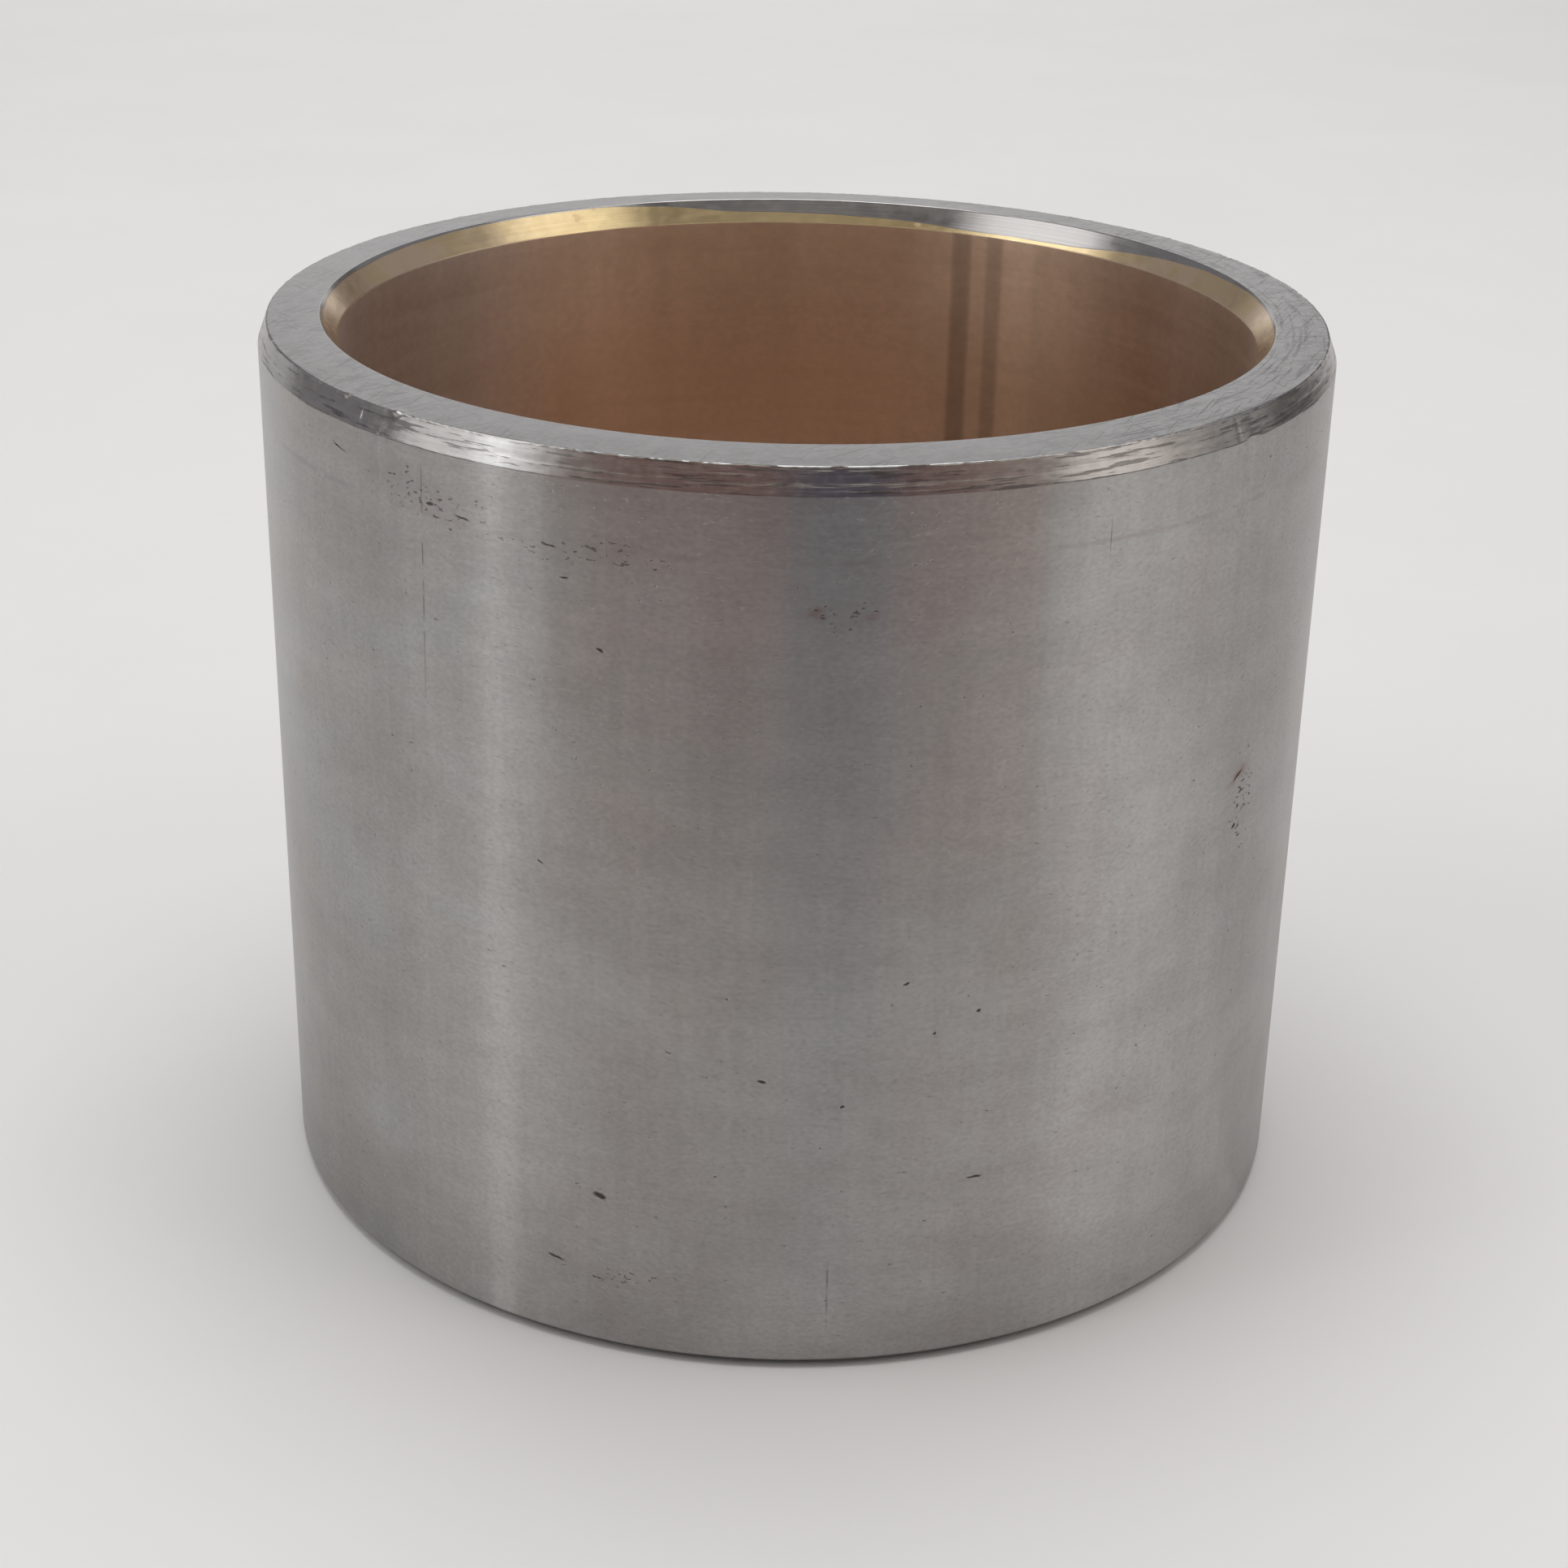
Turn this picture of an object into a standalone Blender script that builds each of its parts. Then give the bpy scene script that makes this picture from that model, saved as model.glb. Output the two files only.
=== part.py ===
"""A steel backed sleeve bushing: a turned steel shell with a thin bronze lining bonded into its bore.

The bushing stands on its lower end face. The origin is the middle of that face, the axis of the
bore is Z, and every size is in metres. Both pieces are rings turned from a closed profile.
"""

import math

import bpy

OUTER_RADIUS = 0.0300
BORE_RADIUS = 0.02565
LENGTH = 0.0505

# The bronze layer, and the hairline between it and the steel it is bonded to.
LINING_THICKNESS = 0.0006
BOND_GAP = 0.00002

# The long, steep lead-in cone at the upper end, which starts the bushing into its housing.
LEAD_IN_RADIAL = 0.0005
LEAD_IN_AXIAL = 0.0015

# The lower outer edge is only broken.
EDGE_BREAK = 0.0004

# The bore chamfer at both ends, which cuts through the lining and into the steel.
MOUTH_RADIUS = 0.0266
MOUTH_DEPTH = 0.0013

TURN_STEPS = 180
MERGE_DISTANCE = 0.00001
SHARP_ANGLE = math.radians(15)

STEEL_COLOUR = (0.42, 0.41, 0.40, 1.0)
STEEL_ROUGHNESS = 0.34
BRONZE_COLOUR = (0.46, 0.29, 0.15, 1.0)
BRONZE_ROUGHNESS = 0.30


def clear_scene():
    for obj in list(bpy.data.objects):
        bpy.data.objects.remove(obj, do_unlink=True)


def make_collection(name):
    collection = bpy.data.collections.new(name)
    bpy.context.scene.collection.children.link(collection)
    return collection


def metal(name, colour, roughness):
    material = bpy.data.materials.new(name)
    material.use_nodes = True
    shader = material.node_tree.nodes["Principled BSDF"]
    shader.inputs["Base Color"].default_value = colour
    shader.inputs["Metallic"].default_value = 1.0
    shader.inputs["Roughness"].default_value = roughness
    return material


def turned_ring(name, profile, material, collection):
    """A ring turned about Z from a closed profile of (radius, height) points."""
    count = len(profile)
    points = [(radius, 0.0, height) for radius, height in profile]
    edges = [(index, (index + 1) % count) for index in range(count)]
    outline = bpy.data.meshes.new(name)
    outline.from_pydata(points, edges, [])
    ring = bpy.data.objects.new(name, outline)
    collection.objects.link(ring)
    screw = ring.modifiers.new("Turn", "SCREW")
    screw.axis = "Z"
    screw.angle = math.tau
    screw.steps = TURN_STEPS
    screw.render_steps = TURN_STEPS
    screw.use_merge_vertices = True
    screw.merge_threshold = MERGE_DISTANCE
    apply_modifiers(ring)
    ring.data.materials.append(material)
    ring.data.shade_smooth()
    ring.data.set_sharp_from_angle(angle=SHARP_ANGLE)
    return ring


def apply_modifiers(obj):
    graph = bpy.context.evaluated_depsgraph_get()
    applied = bpy.data.meshes.new_from_object(obj.evaluated_get(graph))
    applied.name = obj.name
    obj.modifiers.clear()
    obj.data = applied


def chamfer_depth(radius):
    """How far inside the end face the cone of the bore chamfer has this radius."""
    return MOUTH_DEPTH * (MOUTH_RADIUS - radius) / (MOUTH_RADIUS - BORE_RADIUS)


def shell_profile():
    """The steel ring, down its outer side, across the lower face, up the bond and across the top."""
    bond_radius = BORE_RADIUS + LINING_THICKNESS + BOND_GAP
    depth = chamfer_depth(bond_radius)
    return [
        (OUTER_RADIUS - LEAD_IN_RADIAL, LENGTH),
        (OUTER_RADIUS, LENGTH - LEAD_IN_AXIAL),
        (OUTER_RADIUS, EDGE_BREAK),
        (OUTER_RADIUS - EDGE_BREAK, 0.0),
        (MOUTH_RADIUS, 0.0),
        (bond_radius, depth),
        (bond_radius, LENGTH - depth),
        (MOUTH_RADIUS, LENGTH),
    ]


def lining_profile():
    """The bronze ring. Its ends are the inner parts of the two bore chamfers."""
    outer_radius = BORE_RADIUS + LINING_THICKNESS
    depth = chamfer_depth(outer_radius)
    return [
        (outer_radius, LENGTH - depth),
        (outer_radius, depth),
        (BORE_RADIUS, MOUTH_DEPTH),
        (BORE_RADIUS, LENGTH - MOUTH_DEPTH),
    ]


def build():
    clear_scene()
    bushing = make_collection("sleeve_bushing")
    steel = metal("ground_steel", STEEL_COLOUR, STEEL_ROUGHNESS)
    bronze = metal("lining_bronze", BRONZE_COLOUR, BRONZE_ROUGHNESS)
    turned_ring("steel_shell", shell_profile(), steel, bushing)
    turned_ring("bronze_lining", lining_profile(), bronze, bushing)


build()
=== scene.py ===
"""A steel-backed, bronze-lined sleeve bushing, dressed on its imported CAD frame."""

import math
from collections import namedtuple

import bpy
import numpy as np
from mathutils import Matrix, Vector


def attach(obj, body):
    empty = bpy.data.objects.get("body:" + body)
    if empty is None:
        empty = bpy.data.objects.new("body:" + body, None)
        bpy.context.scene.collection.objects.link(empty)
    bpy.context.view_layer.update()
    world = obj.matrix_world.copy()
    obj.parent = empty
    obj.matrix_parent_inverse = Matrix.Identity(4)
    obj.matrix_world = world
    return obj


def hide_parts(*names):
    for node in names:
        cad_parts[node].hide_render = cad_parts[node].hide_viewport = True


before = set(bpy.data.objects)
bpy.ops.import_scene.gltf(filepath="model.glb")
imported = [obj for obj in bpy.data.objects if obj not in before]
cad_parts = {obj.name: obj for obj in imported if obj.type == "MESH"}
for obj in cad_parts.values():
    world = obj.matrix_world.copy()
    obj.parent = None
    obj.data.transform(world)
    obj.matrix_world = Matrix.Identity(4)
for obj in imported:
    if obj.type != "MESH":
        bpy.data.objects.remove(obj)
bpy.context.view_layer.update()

# ---------------------------------------------------------------- sizes, in metres

MM = 0.001
SEGMENTS = 1440  # columns of faces round the axis
SMOOTHING = SEGMENTS // 45  # columns over which a curve round the axis is smoothed
LEVEL_TOLERANCE = 0.02 * MM
SHARP_ANGLE = math.radians(35)

BOND_CLEARANCE = 0.004 * MM  # between the lining's back and the shell
LIP_REACH = 0.004 * MM  # how far from the bond line its two corners are eased
HIDDEN_DEPTH = 2.5 * MM  # how far inside the end faces the bond line reaches its full depth
FACE_FALL = 0.18 * MM  # the end face drops this much from its mouth to its outer edge
FACE_MIDDLE_FALL = 0.07 * MM

LEAD_IN_WAVER = 0.02 * MM  # how far the lead-in's lower edge wanders up and down
LEAD_IN_NOTCH = 0.10 * MM  # the most that its one notch moves it
LEAD_IN_NOTCH_AZIMUTH = 50
LEAD_IN_NOTCH_WIDTH = math.sqrt(3)  # degrees
BURR_HEIGHT = 0.045 * MM  # where the face meets the lead-in
BURR_REACH = 0.06 * MM
TORN_DEPTH = 0.010 * MM  # of the streaks that the tool tore along the lead-in
FACED_DEPTH = 0.0012 * MM  # of those on the end faces and the mouths

CAMERA_LENS = 64.87
CAMERA_SENSOR = 36.0
CAMERA_PLACE = Vector((0.0, -0.15605, 0.0906))
CAMERA_PITCH = math.radians(24.08)  # below the horizon
CAMERA_YAW = math.radians(-0.09)
CAMERA_ROLL = math.radians(1.15)

# A corner of a ring's profile, how far along its two sides it is eased and in how many steps, and
# the zone and the number of bands of the side after it.
Corner = namedtuple("Corner", "radius height reach steps zone bands")

# A knock on the shell: where it is, how far it reaches round the ring and along the profile, and
# how deep it is. Below 0, it stands proud.
Nick = namedtuple("Nick", "azimuth radius height width reach depth")


# ---------------------------------------------------------------- the frame's measures


def ring_points(node):
    """Radius and height of every corner point of a packed ring."""
    points = np.array([vertex.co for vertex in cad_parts[node].data.vertices])
    return np.hypot(points[:, 0], points[:, 1]), points[:, 2]


def near(values, level):
    return np.abs(values - level) < LEVEL_TOLERANCE


def read_measures():
    """The bushing's radii and levels, as the CAD has them."""
    shell_radius, shell_height = ring_points("steel_shell")
    lining_radius, lining_height = ring_points("bronze_lining")
    outer, top, base = shell_radius.max(), shell_height.max(), shell_height.min()
    bore = lining_radius.min()
    in_top = near(shell_height, top)
    in_base = near(shell_height, base)
    on_wall = near(shell_radius, outer)
    on_bore = near(lining_radius, bore)
    return {
        "outer": outer,
        "top": top,
        "base": base,
        "face_outer": shell_radius[in_top].max(),
        "mouth": shell_radius[in_top].min(),
        "wall_top": shell_height[on_wall].max(),
        "wall_base": shell_height[on_wall].min(),
        "base_outer": shell_radius[in_base].max(),
        "bond": lining_radius.max(),
        "bore": bore,
        "bore_top": lining_height[on_bore].max(),
        "bore_base": lining_height[on_bore].min(),
    }


size = read_measures()


# ---------------------------------------------------------------- curves round the axis


def angles():
    """Azimuth of every column, from the camera's side (-Y) towards +X."""
    return np.arange(SEGMENTS) * (2 * math.pi / SEGMENTS)


def wander(seed, lowest, highest, falloff=1.0):
    """A closed random curve round the axis, of unit size, from waves lowest to highest."""
    dice = np.random.RandomState(seed)
    waves = np.arange(lowest, highest + 1)
    phases = dice.uniform(0, 2 * math.pi, len(waves))
    heights = dice.normal(0, 1, len(waves)) / waves**falloff
    curve = (heights[:, None] * np.cos(waves[:, None] * angles() + phases[:, None])).sum(axis=0)
    return curve / np.abs(curve).max()


def through(places):
    """A closed smooth curve through (azimuth in degrees, value) places."""
    places = sorted((azimuth % 360, value) for azimuth, value in places)
    at = [azimuth for azimuth, _ in places]
    values = [value for _, value in places]
    at = [at[-1] - 360, *at, at[0] + 360]
    values = [values[-1], *values, values[0]]
    curve = np.interp(np.degrees(angles()), at, values)
    bell = np.hanning(SMOOTHING)
    wrapped = np.concatenate([curve[-SMOOTHING:], curve, curve[:SMOOTHING]])
    return np.convolve(wrapped, bell / bell.sum(), mode="same")[SMOOTHING:-SMOOTHING]


# ---------------------------------------------------------------- ring meshes


def toward(here, there):
    step = there - here
    return step / np.linalg.norm(step, axis=0)


def band_ends(corner):
    """Where the bands after a corner end, closer together near both corners."""
    t = np.linspace(0, 1, corner.bands + 1)[1:-1]
    return 0.5 - 0.5 * np.cos(math.pi * t)


def ring_rows(corners):
    """A closed profile with every corner eased: radii and heights row by row, and each band's zone."""
    points = [
        np.stack([np.broadcast_to(corner.radius, SEGMENTS), np.broadcast_to(corner.height, SEGMENTS)])
        for corner in corners
    ]
    eased = []
    for i, corner in enumerate(corners):
        here = points[i]
        start = here + corner.reach * toward(here, points[i - 1])
        end = here + corner.reach * toward(here, points[(i + 1) % len(points)])
        steps = np.linspace(0, 1, corner.steps + 1)
        eased.append([(1 - t) ** 2 * start + 2 * t * (1 - t) * here + t * t * end for t in steps])
    rows, zones = [], []
    for i, corner in enumerate(corners):
        following = eased[(i + 1) % len(corners)]
        before = corners[i - 1].zone
        half = corner.steps // 2
        rows += eased[i]
        zones += [before] * half + [corner.zone] * (corner.steps - half)
        start, end = eased[i][-1], following[0]
        for t in band_ends(corner):
            rows.append(start + (end - start) * t)
        zones += [corner.zone] * corner.bands
    rows = np.array(rows)
    return rows[:, 0], rows[:, 1], zones


def push(radii, heights, relief):
    """Moves every point outwards, square to the profile, by its relief in metres."""
    run = np.roll(radii, -1, axis=0) - np.roll(radii, 1, axis=0)
    rise = np.roll(heights, -1, axis=0) - np.roll(heights, 1, axis=0)
    length = np.hypot(run, rise)
    return radii + relief * rise / length, heights - relief * run / length


def bump_at(radii, heights, radius, height, reach):
    """A soft ridge, of height 1, that runs round the profile at one radius and height."""
    distance = np.hypot(radii - radius, heights - height)
    return np.exp(-((distance / reach) ** 2))


def spot_at(radii, heights, mark):
    """A soft spot, of height 1, at one place on the ring."""
    turn = np.radians(mark.azimuth)
    azimuth = angles()
    across = radii * np.sin(azimuth - turn)
    facing = np.cos(azimuth - turn) > 0
    off = np.hypot(radii - mark.radius, heights - mark.height)
    return facing * np.exp(-((across / mark.width) ** 2) - (off / mark.reach) ** 2)


def row_gaps(radii, heights):
    """How far apart the rows on either side of each row are."""
    run = np.roll(radii, -1, axis=0) - np.roll(radii, 1, axis=0)
    rise = np.roll(heights, -1, axis=0) - np.roll(heights, 1, axis=0)
    return np.hypot(run, rise).mean(axis=1)


def tool_rings(radii, heights, zones, zone, seed, depth, finest=50):
    """Rings that a cutting tool left in a zone: each row wanders in and out along its length.

    Rows that lie close together, near a corner, wander less, so that no slope is too steep.
    """
    relief = np.zeros(radii.shape)
    inside = [row for row in range(1, len(zones)) if zones[row] == zone and zones[row - 1] == zone]
    gaps = row_gaps(radii, heights)
    widest = gaps[inside].max()
    for row in inside:
        offset = np.random.RandomState(seed + row).normal()
        shape = 0.5 * offset + wander(seed + 7 * row, 2, finest, falloff=0.5)
        relief[row] = depth * min(1.0, 1.3 * gaps[row] / widest) * shape
    return relief


def ring_mesh(name, radii, heights, zones, materials):
    """The closed ring that the rows describe, one quad per row and column."""
    count = len(radii)
    azimuth = angles()
    points = np.stack([radii * np.sin(azimuth), -radii * np.cos(azimuth), heights], axis=-1)
    row, column = np.meshgrid(np.arange(count), np.arange(SEGMENTS), indexing="ij")
    next_row, next_column = (row + 1) % count, (column + 1) % SEGMENTS
    quads = np.stack(
        [
            row * SEGMENTS + column,
            row * SEGMENTS + next_column,
            next_row * SEGMENTS + next_column,
            next_row * SEGMENTS + column,
        ],
        axis=-1,
    ).reshape(-1, 4)
    mesh = bpy.data.meshes.new(name)
    mesh.from_pydata(points.reshape(-1, 3).tolist(), [], quads.tolist())
    names = list(materials)
    for key in names:
        mesh.materials.append(materials[key])
    slots = np.repeat([names.index(zone) for zone in zones], SEGMENTS)
    mesh.polygons.foreach_set("material_index", slots.astype(np.int32))
    mesh.polygons.foreach_set("use_smooth", np.ones(len(quads), dtype=bool))
    mesh.update()
    mesh.set_sharp_from_angle(angle=SHARP_ANGLE)
    mesh.validate()
    piece = bpy.data.objects.new(name, mesh)
    bpy.context.scene.collection.objects.link(piece)
    return piece


def make_ring(name, corners, relief_of, materials):
    radii, heights, zones = ring_rows(corners)
    relief = relief_of(radii, heights, zones)
    return ring_mesh(name, *push(radii, heights, relief), zones, materials)


# ---------------------------------------------------------------- the bond line

# Bronze's share of the mouth's chamfer, by azimuth from the camera's side.
TOP_BRONZE_SHARE = (
    (0, 0.60),
    (60, 0.85),
    (100, 0.88),
    (114, 0.80),
    (121, 0.70),
    (130, 0.44),
    (135, 0.25),
    (140, 0.15),
    (156, 0.14),
    (163, 0.26),
    (170, 0.34),
    (178, 0.42),
    (190, 0.46),
    (198, 0.74),
    (206, 0.92),
    (232, 0.93),
    (252, 0.84),
    (285, 0.80),
    (320, 0.68),
)
BASE_BRONZE_SHARE = ((0, 0.55), (90, 0.75), (180, 0.70), (250, 0.45), (310, 0.62))
BRONZE_SHARE_WAVER = 0.025
BRONZE_SHARE_LIMITS = (0.12, 0.96)


def bond_radius(shares, seed):
    """Where the bronze gives way to steel on a chamfer, round the axis."""
    share = through(shares) + BRONZE_SHARE_WAVER * wander(seed, 6, 60, falloff=0.6)
    return size["bore"] + share.clip(*BRONZE_SHARE_LIMITS) * (size["mouth"] - size["bore"])


def chamfer_drop(radius):
    """How far below the end face the mouth's chamfer is at a radius."""
    slope = (size["top"] - size["bore_top"]) / (size["mouth"] - size["bore"])
    return (size["mouth"] - radius) * slope


# ---------------------------------------------------------------- the two rings


def shell_corners(top_bond, base_bond):
    face_width = size["face_outer"] - size["mouth"]
    back = size["bond"] + BOND_CLEARANCE
    wall_top = size["wall_top"] + LEAD_IN_WAVER * wander(11, 4, 90, falloff=0.7)
    notch = (np.degrees(angles()) - LEAD_IN_NOTCH_AZIMUTH) / LEAD_IN_NOTCH_WIDTH
    wall_top = wall_top + LEAD_IN_NOTCH * (1 - notch**2) * np.exp(-(notch**2))
    top_lip = top_bond + BOND_CLEARANCE
    base_lip = base_bond + BOND_CLEARANCE
    return [
        Corner(size["outer"], size["wall_base"], 0.10 * MM, 3, "wall", 4),
        Corner(size["outer"], wall_top, 0.07 * MM, 3, "lead_in", 14),
        Corner(size["face_outer"], size["top"] - FACE_FALL, 0.10 * MM, 4, "face", 5),
        Corner(
            size["mouth"] + 0.5 * face_width,
            size["top"] - FACE_MIDDLE_FALL,
            0.25 * face_width,
            2,
            "face",
            5,
        ),
        Corner(size["mouth"], size["top"], 0.04 * MM, 3, "mouth", 6),
        Corner(top_lip, size["top"] - chamfer_drop(top_lip), LIP_REACH, 1, "hidden", 1),
        Corner(back, size["top"] - HIDDEN_DEPTH, 0.05 * MM, 1, "hidden", 1),
        Corner(back, size["base"] + HIDDEN_DEPTH, 0.05 * MM, 1, "hidden", 1),
        Corner(base_lip, size["base"] + chamfer_drop(base_lip), LIP_REACH, 1, "mouth", 3),
        Corner(size["mouth"], size["base"], 0.05 * MM, 2, "face", 3),
        Corner(size["base_outer"], size["base"], 0.10 * MM, 2, "lead_in", 2),
    ]


def shell_nicks():
    """Small knocks on the lead-in's two edges and on its slope."""
    upper = (size["face_outer"], size["top"] - FACE_FALL)
    lower = (size["outer"], size["wall_top"])
    middle = ((upper[0] + lower[0]) / 2, (upper[1] + lower[1]) / 2)
    return [
        Nick(-49.5, *upper, 0.22 * MM, 0.18 * MM, -0.08 * MM),
        Nick(-46.8, *middle, 0.09 * MM, 0.30 * MM, -0.05 * MM),
        Nick(-41.5, *upper, 0.26 * MM, 0.22 * MM, -0.10 * MM),
        Nick(-43, *lower, 0.20 * MM, 0.20 * MM, 0.04 * MM),
        Nick(48, *middle, 0.12 * MM, 0.80 * MM, 0.035 * MM),
        Nick(50, *lower, 0.30 * MM, 0.30 * MM, 0.05 * MM),
        Nick(118, *upper, 0.25 * MM, 0.25 * MM, 0.05 * MM),
        Nick(163, *lower, 0.35 * MM, 0.30 * MM, 0.06 * MM),
        Nick(-132, *upper, 0.20 * MM, 0.25 * MM, 0.05 * MM),
        Nick(4.2, *upper, 0.20 * MM, 0.14 * MM, -0.09 * MM),
    ]


def shell_relief(radii, heights, zones):
    """The shell's fine shape: tool rings, the burr where face and lead-in meet, and nicks."""
    relief = tool_rings(radii, heights, zones, "lead_in", 100, TORN_DEPTH, finest=160)
    relief += tool_rings(radii, heights, zones, "face", 300, FACED_DEPTH)
    relief += tool_rings(radii, heights, zones, "mouth", 500, FACED_DEPTH)
    burr = 0.35 + wander(21, 30, 420, falloff=0.2) + 0.5 * wander(22, 3, 30, falloff=0.5)
    edge = bump_at(radii, heights, size["face_outer"], size["top"] - FACE_FALL, BURR_REACH)
    relief += BURR_HEIGHT * burr.clip(0, 1.2) * edge
    for nick in shell_nicks():
        relief -= nick.depth * spot_at(radii, heights, nick)
    return relief


def lining_corners(top_bond, base_bond):
    return [
        Corner(size["bond"], size["base"] + HIDDEN_DEPTH, 0.05 * MM, 1, "hidden", 1),
        Corner(size["bond"], size["top"] - HIDDEN_DEPTH, 0.05 * MM, 1, "hidden", 1),
        Corner(top_bond, size["top"] - chamfer_drop(top_bond), LIP_REACH, 1, "mouth", 9),
        Corner(size["bore"], size["bore_top"], 0.06 * MM, 4, "bore", 10),
        Corner(size["bore"], size["bore_base"], 0.06 * MM, 3, "mouth", 6),
        Corner(base_bond, size["base"] + chamfer_drop(base_bond), LIP_REACH, 1, "hidden", 1),
    ]


def lining_relief(radii, heights, zones):
    return tool_rings(radii, heights, zones, "mouth", 700, FACED_DEPTH)


# ---------------------------------------------------------------- colours and marks

# A point on a ring, as a graph's sockets: x and y are its direction from the axis.
Place = namedtuple("Place", "where x y radius height")

# A mark on the outer wall, in degrees and millimetres.
Mark = namedtuple("Mark", "azimuth height length width tilt")
MARK_REACH = 2 * MM  # how far a mark reaches in and out of the surface

STEEL = (0.44, 0.43, 0.42, 1)
STEEL_FACED = (0.432, 0.432, 0.435, 1)
STEEL_WARM = (0.45, 0.434, 0.424, 1)
STEEL_COOL = (0.455, 0.455, 0.445, 1)
STEEL_STAIN = (0.36, 0.33, 0.33, 1)
PIT = (0.07, 0.055, 0.045, 1)
RUST = (0.30, 0.17, 0.12, 1)
BRONZE = (0.77, 0.61, 0.48, 1)
BRONZE_DARK = (0.71, 0.54, 0.42, 1)
# painted sheen: the paler bronze at the bore's two sides
BRONZE_SHEEN = (0.80, 0.75, 0.72, 1)
# painted shade: the deeper, darker bronze further down inside the bore
BRONZE_DEEP_SHADE = (0.69, 0.48, 0.34, 1)
BRONZE_CUT = (0.72, 0.56, 0.30, 1)
BRONZE_CUT_PALE = (0.76, 0.61, 0.35, 1)
BRONZE_STAIN = (0.52, 0.33, 0.24, 1)
# paler, bluer bronze for patches towards the chamfer's left and right sides
BRONZE_SIDE_TINT = (0.82, 0.64, 0.475, 1)

PITS = (
    Mark(-18.5, 9.5, 0.7, 0.30, -15),
    Mark(-2, 17.5, 0.45, 0.18, -12),
    Mark(20, 11, 0.8, 0.12, 0),
    Mark(15, 20, 0.20, 0.15, 0),
    Mark(6, 16, 0.25, 0.15, 10),
    Mark(12, 23, 0.30, 0.12, 10),
    Mark(19.5, 21, 0.20, 0.2, 0),
    Mark(-18, 40.5, 0.40, 0.14, -25),
    Mark(-24.5, 28.5, 0.4, 0.10, -30),
    Mark(-50, 47.6, 1.2, 0.08, -14),
    Mark(-32.5, 46, 0.9, 0.12, -8),
    Mark(-36.5, 46.3, 0.5, 0.2, 10),
    Mark(-23, 45.5, 0.7, 0.10, -8),
    Mark(-21.5, 44, 0.45, 0.12, 0),
    Mark(53, 30, 0.9, 0.15, 25),
    Mark(53, 27, 0.35, 0.2, 40),
    Mark(-23.5, 5, 1.0, 0.15, -12),
    Mark(118, 31, 0.6, 0.2, 10),
    Mark(-150, 18, 0.5, 0.2, -15),
    Mark(172, 40, 0.4, 0.2, 20),
)
RUST_SPOTS = (
    Mark(2.3, 43, 1.0, 0.7, 10),
    Mark(7.5, 43, 0.6, 0.6, 0),
    Mark(53, 30, 1.6, 0.5, 25),
    Mark(-18, 9.5, 1.4, 0.7, -15),
)
CLUSTERS = (
    Mark(-36, 46.3, 8.0, 2.4, -14),
    Mark(-19, 45.5, 8.0, 1.5, 0),
    Mark(4.5, 43, 3.6, 1.5, 0),
    Mark(-17, 4.6, 5.5, 1.2, 0),
    Mark(54.5, 28.5, 2.4, 6.0, 0),
    Mark(100, 22, 9.0, 5.0, 10),
    Mark(-110, 40, 8.0, 4.0, -10),
    Mark(165, 12, 10.0, 4.0, 0),
)
LONG_SCRATCHES = (
    Mark(-37.7, 43, 13.0, 0.08, 89),
    Mark(31, 46.5, 3.4, 0.06, 90),
    Mark(5, 5.5, 5.0, 0.12, 90),
    Mark(-135, 25, 16.0, 0.07, 84),
)
GIRDLE_LEVEL = 45.7 * MM  # a faint ring where the grinding of the wall ended
GIRDLE_WIDTH = 0.25 * MM

# Families of scratches on the end face: their angle in degrees, how many cross and lie along each
# metre, and the noise level over which one shows.
SWIRLS = (
    (38, 8200, 230, 0.62),
    (68, 7600, 260, 0.63),
    (-18, 7600, 260, 0.66),
    (15, 7600, 260, 0.64),
    (-55, 7600, 260, 0.66),
)

# Stripes down the bore: azimuth and half width in degrees, and how much darker; below 0 a stripe is
# paler, and the paler one, at 147.2, is a painted highlight.
BORE_STRIPES_AND_HIGHLIGHT = (
    (156, 1.5, 0.33),
    (150.9, 1.3, 0.24),
    (181, 22, 0.11),
    (147.2, 2.8, -0.10),
    (127, 9, 0.12),
    (-40, 2.2, 0.2),
    (35, 3, 0.15),
)
# Painted sheen at the bore's two sides: azimuth and half width in degrees, and how much of the pale
# bronze.
BORE_SHEEN_SIDES = ((-98, 38, 0.8), (98, 22, 0.4))
BORE_SHADE_DEPTH = 12 * MM  # how far down the bore the painted shade, a deeper, darker bronze, reaches its full strength
# A stripe of painted shade that darkens the bore further down: azimuth and half width in degrees, and how
# much darker.
BORE_DEEP_SHADE_STRIPES = ((148, 14, 0.17),)


# ---------------------------------------------------------------- materials


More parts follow.
